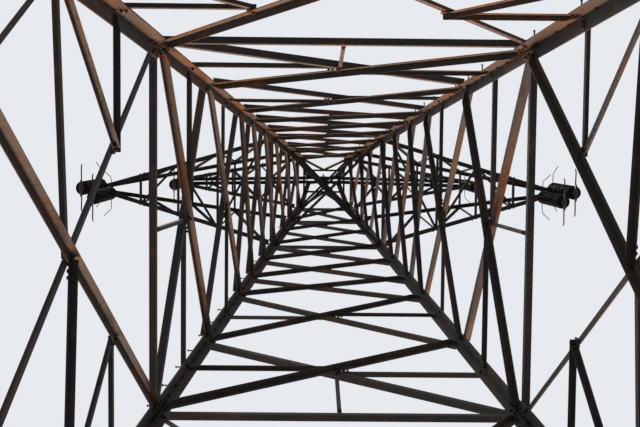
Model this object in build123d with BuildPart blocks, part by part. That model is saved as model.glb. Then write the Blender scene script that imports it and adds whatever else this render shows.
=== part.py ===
from build123d import *
import math
import os

# Lattice transmission pylon: four straight angle-section legs on bolted base plates,
# crossed bracing on each face, two pairs of crossarms with disc insulator strings,
# and a short ridge that carries the earth wire clamp.
# All lengths are millimetres, Z is up, the arms run along X and the line runs along Y.

os.makedirs("parts", exist_ok=True)

# overall shape
base_half = 3495.0        # from the axis to the outer corner of a leg at ground level
lean = 0.098              # how much each face leans inward per unit of height
h_belt = 6200.0           # belt strut, top of the leg extension
h_ring = 13500.0          # ring strut, top of the large crossed panel
h_two = 16430.0           # levels between the body panels
h_three = 19230.0
h_four = 20600.0
h_five = 22190.0
h_low = 23780.0           # bottom chords of the lower arms
h_mid = 25450.0
h_high = 26900.0          # top chords of the lower arms
h_top = 28900.0           # bottom chords of the upper arms
h_ridge = 31000.0         # top chords of the upper arms and the ridge

# base plates and their anchor holes
plate_side = 520.0
plate_t = 30.0
plate_inset = 70.0        # centre of the plate, inward from the outer corner of the leg
bolt_spacing = 360.0
bolt_hole_r = 20.0

# legs: flange width and thickness below and above the ring
leg_low_b, leg_low_t = 180.0, 16.0
leg_up_b, leg_up_t = 150.0, 14.0
leg_top = h_top + 60.0

# bracing angles: flange width and thickness
main_b, main_t = 90.0, 8.0          # main diagonals
cross_b, cross_t = 65.0, 7.0        # outer diagonals of the large panel
strut_b, strut_t = 80.0, 8.0        # belt and ring struts
half_b, half_t = 70.0, 7.0          # half struts of the large panel
light_b, light_t = 60.0, 6.0        # its ties, and the half struts above the ring
thin_b, thin_t = 50.0, 5.0          # smallest ties
body_b, body_t = 75.0, 7.0          # diagonals of the body
upper_b, upper_t = 65.0, 6.0        # bars of the head
cope = 150.0              # how far the standing flange of an inner bar stops before its leg end
edge = 60.0               # nearest corner of a bar's end, inward from the outer corner of the leg
node_gap = 115.0          # clear height between a ring strut and the diagonals below it
spacer = 100.0            # side of the packing piece where two diagonals cross
strut_drop = 230.0        # leg end of a half strut of the large panel, below the crossing
tie_low = 100.0           # leg ends of the upper and the lower slanted ties, below that end
tie_gap = 60.0
knot_up, knot_down = 0.45, 0.50     # where the ties meet a diagonal, from the crossing to the leg
knot_lap = 30.0           # how far the ties run past that point
gusset_w, gusset_h = 620.0, 330.0

# plan bracing
plan_b, plan_t = 60.0, 6.0
plan_cope = 220.0

# arms
arm_low_tip, arm_up_tip = 4830.0, 3720.0
arm_tip_half = 100.0      # half width of the blunt arm tip
arm_low_rise, arm_up_rise = 350.0, 60.0
arm_tip_depth = 170.0
chord_b, chord_t = 90.0, 8.0
web_b, web_t = 50.0, 5.0
lug_t, lug_in, lug_out, lug_h = 12.0, 33.0, 230.0, 300.0
chord_gap = 100.0         # from the outer face of a leg to the end of an arm chord
arm_panels = (0.30, 0.54, 0.77)

# ridge
ridge_share = 0.69        # half length of the ridge, as a share of the body's half width below it
ridge_y = arm_tip_half
ridge_b, ridge_t = 80.0, 8.0
cap_t = 12.0
peak_b, peak_t = 100.0, 8.0

# insulator strings
disc_r, disc_pitch, disc_count = 127.0, 146.0, 13
cap_r, pin_r = 48.0, 16.0
pair_x, pair_y = 125.0, 100.0      # the two strings of a lower arm, from the middle of the pair
link_len, link_r = 150.0, 14.0
clamp_len, clamp_r = 340.0, 32.0
horn_r = 9.0

# step bolts, on the back left leg and on the front right leg
step_first, step_pitch = 3000.0, 380.0
step_r, step_len, step_head_r, step_head_t = 9.0, 140.0, 17.0, 10.0
step_in = 30.0            # bolt axis, inward from the outer corner of the leg

slope = math.sqrt(1.0 + lean * lean)


def half(h):
    """Half width of the tower at height h, over the outer corners of the legs."""
    return base_half - lean * h


def face_plane(turn):
    """Outer plane of one face: 0 front, 1 right, 2 back, 3 left. Local X runs to the right."""
    c, s = round(math.cos(turn * math.pi / 2)), round(math.sin(turn * math.pi / 2))
    return Plane(origin=(s * base_half, -c * base_half, 0), x_dir=(c, s, 0), z_dir=(s, -c, lean))


def on_face(u, h):
    """Sketch point of a face at height h above the ground."""
    return (u, h * slope)


def leg_point(side, h, inward=edge):
    """Point near the leg on the left (-1) or right (1) of a face."""
    return (side * (half(h) - inward), h)


def between(p, q, s):
    """Point at the fraction s of the way from p to q."""
    return tuple(a + (b - a) * s for a, b in zip(p, q))


def crossing(h0, h1):
    """Height at which the diagonals of a panel cross."""
    w0, w1 = half(h0) - edge, half(h1) - edge
    return h0 + (h1 - h0) * w0 / (w0 + w1)


def set_back(p, q, b, more=0.0):
    """Ends of a bar, each end at a leg drawn back until neither corner of it passes the edge."""
    run, rise = q[0] - p[0], (q[1] - p[1]) * slope
    ends = []
    for end, other in ((p, q), (q, p)):
        if abs(end[0]) > half(end[1]) - edge - 1:
            end = between(end, other, (b / 2 * abs(rise / run) + more) / math.hypot(run, rise))
        ends.append(end)
    return ends


def strip(p, q, width, shift=0.0):
    """Add a straight strip from p to q to the sketch, moved sideways by shift."""
    (u0, v0), (u1, v1) = on_face(*p), on_face(*q)
    if u1 < u0:
        u0, v0, u1, v1 = u1, v1, u0, v0
    run, rise = u1 - u0, v1 - v0
    length = math.hypot(run, rise)
    angle = math.atan2(rise, run)
    u = (u0 + u1) / 2 - math.sin(angle) * shift
    v = (v0 + v1) / 2 + math.cos(angle) * shift
    with Locations((u, v)):
        Rectangle(length, width, rotation=math.degrees(angle))


def lay_bars(turn, bars, leg_t, outer_rim=-1):
    """Add angle bars to a face. Each bar is (p, q, flange width, thickness, outer side or not).

    The standing flange is on the lower edge (-1) or the upper edge (1) of an outer bar,
    and always on the upper edge of an inner bar, where it stops short of a leg.
    """
    plane = face_plane(turn)
    for outer in (True, False):
        sign, rim = (1, outer_rim) if outer else (-1, 1)
        seat = plane if outer else plane.offset(-leg_t)
        sizes = sorted({(b, t) for _, _, b, t, side in bars if side == outer}, reverse=True)
        for b, t in sizes:
            group = [(p, q) for p, q, *size in bars if size == [b, t, outer]]
            with BuildSketch(seat) as flat:
                for p, q in group:
                    strip(*set_back(p, q, b), b)
            extrude(flat.sketch, amount=sign * t)
            with BuildSketch(seat) as flat:
                for p, q in group:
                    strip(*set_back(p, q, b, 0 if outer else cope), t, shift=rim * (b - t) / 2)
            extrude(flat.sketch, amount=sign * b)


def lay_packing(turn, spots, leg_t):
    """Add the packing pieces between an outer and an inner bar at points of a face."""
    with BuildSketch(face_plane(turn)) as flat:
        for u, h in spots:
            with Locations(on_face(u, h)):
                Rectangle(spacer, spacer)
    extrude(flat.sketch, amount=-leg_t)


def crossed(h0, h1, outer, inner):
    """The two diagonals of a panel: the outer one rises to the right, the inner to the left."""
    return [
        (leg_point(-1, h0), leg_point(1, h1), *outer, True),
        (leg_point(1, h0), leg_point(-1, h1), *inner, False),
    ]


def half_struts(h, b, t, outer_side=-1, drop=0.0):
    """Struts from the crossing to each leg, one on the outer side of the face, one on the inner."""
    return [((0, h), leg_point(side, h - drop), b, t, side == outer_side) for side in (-1, 1)]


def leg(sx, sy, h0, h1, b, t):
    """Straight piece of a leg: an angle whose flanges lie in two faces of the tower."""
    x, y = sx * half(h0), sy * half(h0)
    outline = [(0, 0), (b, 0), (b, t), (t, t), (t, b), (0, b)]
    with BuildSketch(Plane.XY.offset(h0)) as flat:
        with BuildLine():
            Polyline(*[(x - sx * a, y - sy * c) for a, c in outline], close=True)
        make_face()
    length = (h1 - h0) * math.sqrt(1 + 2 * lean * lean)
    extrude(flat.sketch, amount=length, dir=(-sx * lean, -sy * lean, 1))


def angle_bar(p, q, b, t, toward, down=(0, 0, -1)):
    """Angle bar between two points in space, heel on the line, flanges toward and down."""
    p, q = Vector(*p), Vector(*q)
    along = (q - p).normalized()
    side = Vector(*toward)
    side = (side - along * side.dot(along)).normalized()
    flip = 1 if along.cross(side).dot(Vector(*down)) > 0 else -1
    outline = [(0, 0), (b, 0), (b, t), (t, t), (t, b), (0, b)]
    with BuildSketch(Plane(origin=p, x_dir=side, z_dir=along)) as flat:
        with BuildLine():
            Polyline(*[(a, flip * c) for a, c in outline], close=True)
        make_face()
    extrude(flat.sketch, amount=(q - p).length)


def block(x0, x1, y0, y1, z0, z1, mode=Mode.ADD):
    """Plain block between two corners."""
    with BuildSketch(Plane.XY.offset(z0)) as flat:
        with Locations(((x0 + x1) / 2, (y0 + y1) / 2)):
            Rectangle(abs(x1 - x0), y1 - y0)
    extrude(flat.sketch, amount=z1 - z0, mode=mode)


def rod(p, q, r):
    """Round rod between two points."""
    p, q = Vector(*p), Vector(*q)
    with BuildSketch(Plane(origin=p, z_dir=q - p)) as flat:
        Circle(r)
    extrude(flat.sketch, amount=(q - p).length)


def save(builder, name):
    builder.part.label = name
    export_step(builder.part, "parts/" + name + ".step")


corners = {
    "front_left": (-1, -1),
    "front_right": (1, -1),
    "back_right": (1, 1),
    "back_left": (-1, 1),
}
faces = {"front": 0, "right": 1, "back": 2, "left": 3}
ridge_half = ridge_share * half(h_top)
ridge_end = ridge_half + 2 + peak_b * (half(leg_top) - ridge_half) / (h_ridge - leg_top)

# base plates, each with four anchor holes
with BuildPart() as base_plates:
    for sx, sy in corners.values():
        centre = (sx * (base_half - plate_inset), sy * (base_half - plate_inset))
        with BuildSketch() as flat:
            with Locations(centre):
                Rectangle(plate_side, plate_side)
                with GridLocations(bolt_spacing, bolt_spacing, 2, 2):
                    Circle(bolt_hole_r, mode=Mode.SUBTRACT)
        extrude(flat.sketch, amount=plate_t)
save(base_plates, "base_plates")

# legs, in two lengths that meet at the ring
for name, (sx, sy) in corners.items():
    with BuildPart() as leg_lower:
        leg(sx, sy, plate_t, h_ring, leg_low_b, leg_low_t)
    save(leg_lower, "leg_lower_" + name)
    with BuildPart() as leg_upper:
        leg(sx, sy, h_ring, leg_top, leg_up_b, leg_up_t)
    save(leg_upper, "leg_upper_" + name)

# leg extension: a brace from the middle of the belt to each foot, with light ties to the leg
brace_low, brace_high = 380.0, h_belt - 75.0
brace_start = 150.0
tie_levels = (0.66, 0.34)
for name, turn in faces.items():
    with BuildPart() as base_brace:
        bars = []
        for side in (-1, 1):
            top, foot = (side * brace_start, brace_high), leg_point(side, brace_low)
            bars.append((top, foot, main_b, main_t, False))
            knots = [between(foot, top, s) for s in tie_levels]
            for knot, low in zip(knots, (knots[1][1], 900.0)):
                bars.append((knot, leg_point(side, knot[1]), thin_b, thin_t, False))
                bars.append((knot, leg_point(side, low + 60.0), thin_b, thin_t, False))
        lay_bars(turn, bars, leg_low_t)
    save(base_brace, "base_brace_" + name)

# large crossed panel between the belt and the ring, with its half struts and light ties
h_cross = crossing(h_belt, h_ring - node_gap)
for name, turn in faces.items():
    with BuildPart() as lower_panel:
        bars = crossed(h_belt, h_ring - node_gap, (cross_b, cross_t), (main_b, main_t))
        bars.append((leg_point(-1, h_belt), leg_point(1, h_belt), strut_b, strut_t, True))
        bars += half_struts(h_cross, half_b, half_t, outer_side=1, drop=strut_drop)
        spots = [(0, h_cross)]
        for side in (-1, 1):
            strut_end = h_cross - strut_drop
            upper = between((0, h_cross), leg_point(side, h_ring - node_gap), knot_up)
            lower = between((0, h_cross), leg_point(side, h_belt), knot_down)
            spots += [upper, lower]
            for knot, h_end, outer in (
                (upper, strut_end - tie_low, side < 0),
                (lower, strut_end - tie_gap, side > 0),
            ):
                for end in (leg_point(side, knot[1]), leg_point(side, h_end)):
                    lap = knot_lap / math.dist(knot, end)
                    bars.append((between(knot, end, -lap), end, light_b, light_t, outer))
        lay_bars(turn, bars, leg_low_t, outer_rim=1)
        lay_packing(turn, spots, leg_low_t)
        with BuildSketch(face_plane(turn)) as flat:
            with Locations(on_face(0, h_belt + strut_b / 2 - gusset_h / 2)):
                Rectangle(gusset_w, gusset_h)
        extrude(flat.sketch, amount=-leg_low_t)
    save(lower_panel, "lower_panel_" + name)

# body between the ring and the lower arms: two panels with half struts, then three plain ones
for name, turn in faces.items():
    with BuildPart() as body_panel:
        levels = [h_ring + 60.0, h_two, h_three, h_four, h_five, h_low - node_gap]
        bars = [(leg_point(-1, h_ring), leg_point(1, h_ring), strut_b, strut_t, True)]
        knots = []
        for low, high in zip(levels, levels[1:]):
            size = (main_b, main_t) if low == levels[0] else (body_b, body_t)
            bars += crossed(low, high, size, size)
            knots.append(crossing(low, high))
        bars += half_struts(knots[0], light_b, light_t)
        bars += half_struts(knots[1], thin_b, thin_t, outer_side=1)
        bars.append(((0, h_ring), (0, knots[0]), thin_b, thin_t, True))
        lay_bars(turn, bars, leg_up_t)
        lay_packing(turn, [(0, h) for h in knots], leg_up_t)
    save(body_panel, "body_panel_" + name)

# head of the body between the lower and the upper arms
for name, turn in faces.items():
    with BuildPart() as head_panel:
        levels = [h_low + 60.0, h_mid, h_high, h_top - 90.0]
        bars = []
        knots = []
        for low, high in zip(levels, levels[1:]):
            bars += crossed(low, high, (upper_b, upper_t), (upper_b, upper_t))
            knots.append(crossing(low, high))
        for h in (h_low, h_high, h_top - 40.0):
            bars.append((leg_point(-1, h), leg_point(1, h), upper_b, upper_t, True))
        lay_bars(turn, bars, leg_up_t)
        lay_packing(turn, [(0, h) for h in knots], leg_up_t)
    save(head_panel, "head_panel_" + name)

# crossed plan bracing inside the legs at the levels of the arms
for name, h in (("low", h_low), ("middle", h_high), ("top", h_top - 120.0)):
    room = half(h + plan_t) - leg_up_t
    with BuildPart() as plan_brace:
        with BuildSketch(Plane.XY.offset(h)) as flat:
            for turn in (45, -45):
                Rectangle(3 * room, plan_b, rotation=turn)
            Rectangle(2 * room, 2 * room, mode=Mode.INTERSECT)
        extrude(flat.sketch, amount=plan_t)
        with BuildSketch(Plane.XY.offset(h)) as flat:
            for turn in (45, -45):
                length = 2 * math.sqrt(2) * (room - plan_cope)
                Rectangle(length, plan_t, rotation=turn)
        extrude(flat.sketch, amount=-plan_b)
    save(plan_brace, "plan_brace_" + name)


def arm(side, tip, h_root, h_upper, tip_z, root_upper):
    """Crossarm on one side: two bottom and two top chords to a blunt tip, laced together."""
    x_root = half(h_root)
    x_up, y_up = root_upper
    tip_x = side * tip

    def bottom(s, sy, inward=0.0, up=0.0):
        """Point of a bottom chord, s from 0 at the body to 1 at the tip."""
        root = (side * (x_root + chord_gap), sy * (half(h_root) - lug_in), h_root)
        x, y, z = between(root, (tip_x, sy * arm_tip_half, tip_z), s)
        return (x, y - sy * inward, z + up)

    def top(s, sy, inward=0.0, up=0.0):
        """Point of a top chord."""
        root = (side * x_up, sy * y_up, h_upper)
        x, y, z = between(root, (tip_x, sy * arm_tip_half, tip_z + arm_tip_depth), s)
        return (x, y - sy * inward, z + up)

    for sy in (-1, 1):
        inward = (0, -sy, 0)
        angle_bar(bottom(0, sy), bottom(1, sy), chord_b, chord_t, inward, (0, 0, 1))
        angle_bar(top(0, sy), top(1, sy), chord_b, chord_t, inward)
    stations = (0.02,) + arm_panels
    bite = 0.6 * chord_t      # the lacing bars sit this deep in the chord flanges
    for n, s in enumerate(arm_panels):
        for sy in (-1, 1):
            angle_bar(bottom(s, sy, bite, 15), top(s, sy, bite, -15), web_b, web_t,
                      (side, 0, 0), (0, -sy, 0))
            angle_bar(bottom(stations[n], sy, bite, 15), top(s, sy, bite, -25), web_b, web_t,
                      (0, -sy, 0))
        angle_bar(bottom(s, -1, 20, bite), bottom(s, 1, 20, bite), web_b, web_t,
                  (side, 0, 0), (0, 0, 1))
        angle_bar(top(s, -1, 20, -bite), top(s, 1, 20, -bite), web_b, web_t, (side, 0, 0))
        turn = 1 if n % 2 else -1
        angle_bar(bottom(stations[n], turn, 20, bite), bottom(s, -turn, 20, bite), web_b, web_t,
                  (side, 0, 0), (0, 0, 1))
    x0, x1 = tip_x - side * 190.0, tip_x + side * 40.0
    low, high = tip_z - 14.0, tip_z + arm_tip_depth + 10.0
    for sy in (-1, 1):
        y0, y1 = sorted((sy * (arm_tip_half - 6.0), sy * (arm_tip_half + 8.0)))
        block(x0, x1, y0, y1, low, high)
    block(x0, x1, -arm_tip_half - 8, arm_tip_half + 8, tip_z - 20.0, tip_z - 6.0)


def lug(side, sy, h):
    """Plate that stands on the outer face of a leg and takes the end of a chord."""
    y = sy * (half(h) - lug_in)
    low, high = h - lug_h / 2, h + lug_h / 2
    with BuildSketch(Plane(origin=(0, y, 0), x_dir=(1, 0, 0), z_dir=(0, -1, 0))) as flat:
        with BuildLine():
            Polyline(
                (side * half(low), low), (side * (half(h) + lug_out), low),
                (side * (half(h) + lug_out), high), (side * half(high), high), close=True)
        make_face()
    extrude(flat.sketch, amount=lug_t / 2, both=True)


# arms: the lower pair springs from four lugs, the upper pair from two lugs and the ridge
for name, side in (("left", -1), ("right", 1)):
    with BuildPart() as lower_arm:
        root = (half(h_high) + chord_gap, half(h_high) - lug_in)
        arm(side, arm_low_tip, h_low, h_high, h_low + arm_low_rise, root)
        for sy in (-1, 1):
            lug(side, sy, h_low)
            lug(side, sy, h_high)
    save(lower_arm, "lower_arm_" + name)
    with BuildPart() as upper_arm:
        arm(side, arm_up_tip, h_top - 160.0, h_ridge, h_top - 160.0 + arm_up_rise,
            (ridge_half - 30.0, ridge_y))
        block(side * ridge_end, side * (ridge_half - 200.0), -300, 300,
              h_ridge - 400, h_ridge + 200, mode=Mode.SUBTRACT)
        for sy in (-1, 1):
            lug(side, sy, h_top - 160.0)
    save(upper_arm, "upper_arm_" + name)

# ridge on the leg tops, between the top chords of the upper arms
with BuildPart() as ridge:
    w = half(leg_top)
    foot_z, crown = leg_top - 40.0, h_ridge - 20.0
    for sx, sy in corners.values():
        x0, x1 = sx * w, sx * (w - leg_up_b)
        y0, y1 = sorted((sy * w, sy * (w - leg_up_b)))
        block(x0, x1, y0, y1, leg_top, leg_top + cap_t)
        angle_bar((sx * w, sy * w, foot_z), (sx * ridge_half, sy * ridge_y, crown),
                  peak_b, peak_t, (-sx, 0, 0), (0, -sy, 0))
    for sy in (-1, 1):
        foot = [(sx * (w - 60.0), sy * (w - 12.0), foot_z) for sx in (-1, 1)]
        head = [(sx * ridge_half, sy * ridge_y, crown) for sx in (-1, 1)]
        left, right = (between(foot[0], head[0], 0.6), between(foot[1], head[1], 0.6))
        middle = between(left, right, 0.5)
        angle_bar(left, right, web_b, web_t, (0, -sy, 0))
        for corner in foot:
            angle_bar(corner, middle, web_b, web_t, (0, -sy, 0))
        angle_bar((-ridge_half + 4, sy * ridge_y, crown), (ridge_half - 4, sy * ridge_y, crown),
                  ridge_b, ridge_t, (0, -sy, 0))
    for sx in (-1, 1):
        ends = [between((sx * (w - 8.0), sy * (w - 60.0), foot_z),
                        (sx * ridge_half, sy * ridge_y, crown), 0.45) for sy in (-1, 1)]
        angle_bar(ends[0], ends[1], web_b, web_t, (-sx, 0, 0))
        block(sx * (ridge_half - 12.0), sx * ridge_end, -ridge_y - 40, ridge_y + 40,
              h_ridge - 130, h_ridge + 30)
    block(-90, 90, -ridge_y - 6, ridge_y + 6, crown - 4, crown + 12)
    block(-w - 100, w + 100, -w - 100, w + 100, leg_top - 300, leg_top, mode=Mode.SUBTRACT)
save(ridge, "ridge")

# earth wire clamp that stands on the middle of the ridge
with BuildPart() as earth_wire_clamp:
    seat = h_ridge - 8.0
    block(-80, 80, -80, 80, seat, seat + 12)
    for x in (-30, 18):
        block(x, x + 12, -45, 45, seat + 12, seat + 190)
    rod((-45, 0, seat + 160), (45, 0, seat + 160), 12)
    block(-14, 14, -22, 22, seat + 120, seat + 200)
    with BuildSketch(Plane(origin=(0, -150, seat + 205), z_dir=(0, 1, 0))) as flat:
        Circle(24)
    extrude(flat.sketch, amount=300)
save(earth_wire_clamp, "earth_wire_clamp")


def string_places(side, tip, z, pair):
    """Middle of the arm tip and the tops of its strings."""
    x = side * (tip - 75.0)
    if pair:
        return x, [(x - side * pair_x, pair_y, z), (x + side * pair_x, -pair_y, z)]
    return x, [(x, 0.0, z)]


def insulator(x, y, z):
    """String of discs that hangs from z: caps, sheds and pins turned round one axis."""
    outline = [(0, 0)]
    for n in range(disc_count):
        top = -n * disc_pitch
        outline += [
            (pin_r, top), (cap_r * 0.8, top - 12), (cap_r, top - 55),
            (disc_r * 0.75, top - 66), (disc_r, top - 98), (disc_r * 0.96, top - 108),
            (cap_r, top - 92), (pin_r, top - 104),
        ]
    outline += [(pin_r, -disc_count * disc_pitch), (0, -disc_count * disc_pitch)]
    with BuildSketch(Plane(origin=(x, y, z), x_dir=(1, 0, 0), z_dir=(0, -1, 0))) as flat:
        with BuildLine():
            Polyline(*outline, close=True)
        make_face()
    revolve(flat.sketch, axis=Axis((x, y, z), (0, 0, 1)), revolution_arc=360)


string_len = disc_count * disc_pitch
for level, tip, z_tip, pair in (
    ("lower", arm_low_tip, h_low + arm_low_rise - 20.0, True),
    ("upper", arm_up_tip, h_top - 160.0 + arm_up_rise - 20.0, False),
):
    for name, side in (("left", -1), ("right", 1)):
        z_top = z_tip - link_len
        x_mid, tops = string_places(side, tip, z_top, pair)
        with BuildPart() as insulators:
            for x, y, z in tops:
                insulator(x, y, z)
        save(insulators, "insulators_" + level + "_" + name)
        with BuildPart() as fittings:
            # hanger from the arm tip, with an arcing horn on each side
            for x, y, z in tops:
                block(x - 20, x + 20, y - 20, y + 20, z, z + 40)
                for sy in (-1, 1):
                    knee = (x + side * 25, y + sy * 185, z + 15)
                    rod((x, y, z + 20), knee, horn_r)
                    rod(knee, (x + side * 115, y + sy * 300, z - 60), horn_r)
            if pair:
                (xa, ya, _), (xb, yb, _) = tops
                with BuildSketch(Plane.XY.offset(z_top + 40)) as flat:
                    with Locations((x_mid, 0)):
                        turn = math.degrees(math.atan2(yb - ya, xb - xa))
                        Rectangle(math.hypot(xb - xa, yb - ya) + 90, 70, rotation=turn)
                extrude(flat.sketch, amount=14)
            rod((x_mid, 0, z_top + 20), (x_mid, 0, z_tip), link_r)
            # wire clamp under each string
            for x, y, z in tops:
                bottom_z = z - string_len
                rod((x, y, bottom_z), (x, y, bottom_z - 90), link_r)
                rod((x, y - clamp_len / 2, bottom_z - 110), (x, y + clamp_len / 2, bottom_z - 110),
                    clamp_r)
        save(fittings, "fittings_" + level + "_" + name)

# step bolts, by turns on the two flanges of a leg, clear of the arm lugs
lug_levels = (h_low, h_high, h_top - 160.0)
step_count = int((h_top - 300.0 - step_first) / step_pitch)
for name, flanges in (("back_left", ((3, -1), (2, 1))), ("front_right", ((1, -1), (0, 1)))):
    with BuildPart() as step_bolts:
        for start, (turn, end) in enumerate(flanges):
            levels = [step_first + n * step_pitch for n in range(start, step_count, 2)]
            spots = [on_face(end * (half(h) - step_in), h) for h in levels
                     if turn in (0, 2) or all(abs(h - z) > lug_h / 2 + 60 for z in lug_levels)]
            with BuildSketch(face_plane(turn)) as flat:
                with Locations(*spots):
                    Circle(step_r)
            extrude(flat.sketch, amount=step_len)
            with BuildSketch(face_plane(turn).offset(step_len)) as flat:
                with Locations(*spots):
                    RegularPolygon(step_head_r, 6)
            extrude(flat.sketch, amount=step_head_t)
    save(step_bolts, "step_bolts_" + name)
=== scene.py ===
import math
import random

import bpy
from bpy.props import FloatProperty, FloatVectorProperty, IntProperty, PointerProperty
from mathutils import Matrix, Vector


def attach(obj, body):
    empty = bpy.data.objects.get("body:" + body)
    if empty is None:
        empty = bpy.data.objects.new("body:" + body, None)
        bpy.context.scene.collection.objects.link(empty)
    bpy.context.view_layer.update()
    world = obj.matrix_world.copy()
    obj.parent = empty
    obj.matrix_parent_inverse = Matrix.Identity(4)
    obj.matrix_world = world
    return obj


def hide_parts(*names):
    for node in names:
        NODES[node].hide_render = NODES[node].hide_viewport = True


bl_info = {
    "name": "Lattice pylon finish",
    "version": (1, 0, 0),
    "blender": (4, 5, 0),
    "location": "View3D > Sidebar > Pylon",
    "description": "Weathered steel, bolts, insulator strings and fittings for a lattice pylon",
    "category": "Add Mesh",
}

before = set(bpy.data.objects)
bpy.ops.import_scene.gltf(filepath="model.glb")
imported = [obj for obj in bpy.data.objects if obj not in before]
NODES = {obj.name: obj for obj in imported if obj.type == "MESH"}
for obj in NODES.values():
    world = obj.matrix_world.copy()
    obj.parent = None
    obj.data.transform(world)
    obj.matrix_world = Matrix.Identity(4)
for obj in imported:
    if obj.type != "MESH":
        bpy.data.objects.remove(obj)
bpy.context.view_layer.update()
ARMS = [(level, name, side) for level in ("lower", "upper") for name, side in (("left", -1), ("right", 1))]
TURNS = {"front": 0, "right": 1, "back": 2, "left": 3}
CORNERS = {"front_left": (-1, -1), "front_right": (1, -1), "back_right": (1, 1), "back_left": (-1, 1)}


def length(name, text, value):
    return FloatProperty(name=name, description=text, default=value, unit="LENGTH", precision=4)


def tone(name, text, value):
    return FloatVectorProperty(name=name, description=text, default=value, size=3, min=0.0, max=1.0,
                               subtype="COLOR")


class PylonSizes(bpy.types.PropertyGroup):
    """Sizes that the added pieces are made to."""
    base_half: length("Base half width", "Axis to the outer corner of a leg at ground level", 3.495)
    lean: FloatProperty(name="Lean", description="How much each face leans in per unit of height",
                        default=0.098, subtype="FACTOR", min=0.0, max=1.0)
    leg_low_b: length("Lower leg flange", "Flange width of a leg below the ring", 0.180)
    leg_low_t: length("Lower leg thickness", "Flange thickness of a leg below the ring", 0.016)
    leg_up_b: length("Upper leg flange", "Flange width of a leg above the ring", 0.150)
    leg_up_t: length("Upper leg thickness", "Flange thickness of a leg above the ring", 0.014)
    edge: length("Bar end distance", "Nearest corner of a bar's end, from the corner of the leg", 0.060)
    bolt_across: length("Bolt head", "Width across the flats of a joint bolt", 0.032)
    bolt_head: length("Bolt head height", "Height of a joint bolt's head", 0.015)
    anchor_across: length("Anchor nut", "Width across the flats of an anchor nut", 0.055)
    disc_radius: length("Disc radius", "Outer radius of an insulator disc", 0.138)
    disc_pitch: length("Disc pitch", "Height that one disc adds to a string", 0.146)
    disc_count: IntProperty(name="Discs", description="Discs in a string", default=13, min=1)
    horn_radius: length("Horn radius", "Radius of an arcing horn's rod", 0.008)
    floor_side: length("Floor side", "Side of the studio floor", 400.0)


class PylonColours(bpy.types.PropertyGroup):
    """Colours of the steel, the porcelain and the studio."""
    steel_cool: tone("Grey steel", "Old grey paint over zinc", (0.052, 0.056, 0.056))
    # Brown steel is partly real run-off stain and partly painted warm light on faces turned to the key lamp
    steel_warm: tone("Brown steel", "Paint stained brown by run-off, also painted warm lamp light", (0.222, 0.122, 0.080))
    rust_dark: tone("Dark rust", "Old dense rust", (0.070, 0.030, 0.016))
    rust_bright: tone("Bright rust", "Fresh orange rust", (0.310, 0.122, 0.042))
    zinc: tone("Zinc", "Dull galvanised forgings", (0.075, 0.078, 0.082))
    dust: tone("Dust", "Settled dust on upper faces", (0.230, 0.205, 0.175))
    glaze: tone("Glaze", "Dark brown glaze of the discs", (0.020, 0.011, 0.011))
    floor: tone("Floor", "Studio floor", (0.74, 0.74, 0.75))
    sky: tone("Backdrop", "What the camera sees behind the pylon", (0.80, 0.82, 0.86))


def sizes():
    return bpy.context.scene.pylon_sizes


def colours():
    return bpy.context.scene.pylon_colours


# Heights of the joints, and gaps and shares of the bracing, as in the CAD part

H_BELT, H_RING, H_TWO, H_THREE, H_FOUR, H_FIVE = 6.2, 13.5, 16.43, 19.23, 20.6, 22.19
H_LOW, H_MID, H_HIGH, H_TOP, H_RIDGE = 23.78, 25.45, 26.9, 28.9, 31.0
H_UPPER_LUG = H_TOP - 0.16
NODE_GAP, PANEL_GAP, COPE = 0.115, 0.06, 0.150
STRUT_DROP, TIE_LOW, TIE_GAP = 0.23, 0.10, 0.06
KNOT_UP, KNOT_DOWN, KNOT_LAP = 0.45, 0.50, 0.030
FOOT_TOP_IN, FOOT_TOP_DROP, FOOT_LOW, FOOT_STRUT_LOW = 0.15, 0.075, 0.38, 0.9
ARM_STATIONS = (0.30, 0.54, 0.77)
ARM_TIPS = {"lower": (4.83, H_LOW + 0.35), "upper": (3.72, H_TOP - 0.10)}
ARM_TIP_HALF, ARM_TIP_DEPTH, CHORD_GAP, LUG_IN = 0.100, 0.170, 0.100, 0.033
RIDGE_SHARE = 0.69

# Stock angles as (flange width, thickness), and the crossed panels as (low, high, outer bar, inner bar)

L90, L80, L75, L70 = (0.09, 0.008), (0.08, 0.008), (0.075, 0.007), (0.07, 0.007)
L65_THICK, L65, L60, L50 = (0.065, 0.007), (0.065, 0.006), (0.06, 0.006), (0.05, 0.005)
BODY_LEVELS = (H_RING + PANEL_GAP, H_TWO, H_THREE, H_FOUR, H_FIVE, H_LOW - NODE_GAP)
HEAD_LEVELS = (H_LOW + PANEL_GAP, H_MID, H_HIGH, H_TOP - 0.09)
PANELS = {
    "foot": [],
    "large": [(H_BELT, H_RING - NODE_GAP, L65_THICK, L90)],
    "body": [(low, high, steel, steel)
             for low, high, steel in zip(BODY_LEVELS, BODY_LEVELS[1:], (L90, L75, L75, L75, L75))],
    "head": [(low, high, L65, L65) for low, high in zip(HEAD_LEVELS, HEAD_LEVELS[1:])],
}


def half(h):
    """Half width of the tower at height h, over the outer corners of the legs."""
    return sizes().base_half - sizes().lean * h


def slope():
    """Length along a face for each unit of height."""
    return math.sqrt(1.0 + sizes().lean ** 2)


def leg_size(part):
    """Flange width and thickness of the leg behind a part of the bracing."""
    s = sizes()
    return (s.leg_low_b, s.leg_low_t) if part in ("foot", "large") else (s.leg_up_b, s.leg_up_t)


def leg_point(side, h):
    return (side * (half(h) - sizes().edge), h)


def at_leg(point):
    """Whether a bar's end is on a leg."""
    return abs(point[0]) > half(point[1]) - sizes().edge - 0.001


def between(p, q, s):
    return tuple(a + (b - a) * s for a, b in zip(p, q))


def crossing(low, high):
    """Height at which the diagonals between two levels cross."""
    w0, w1 = half(low) - sizes().edge, half(high) - sizes().edge
    return low + (high - low) * w0 / (w0 + w1)


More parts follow.
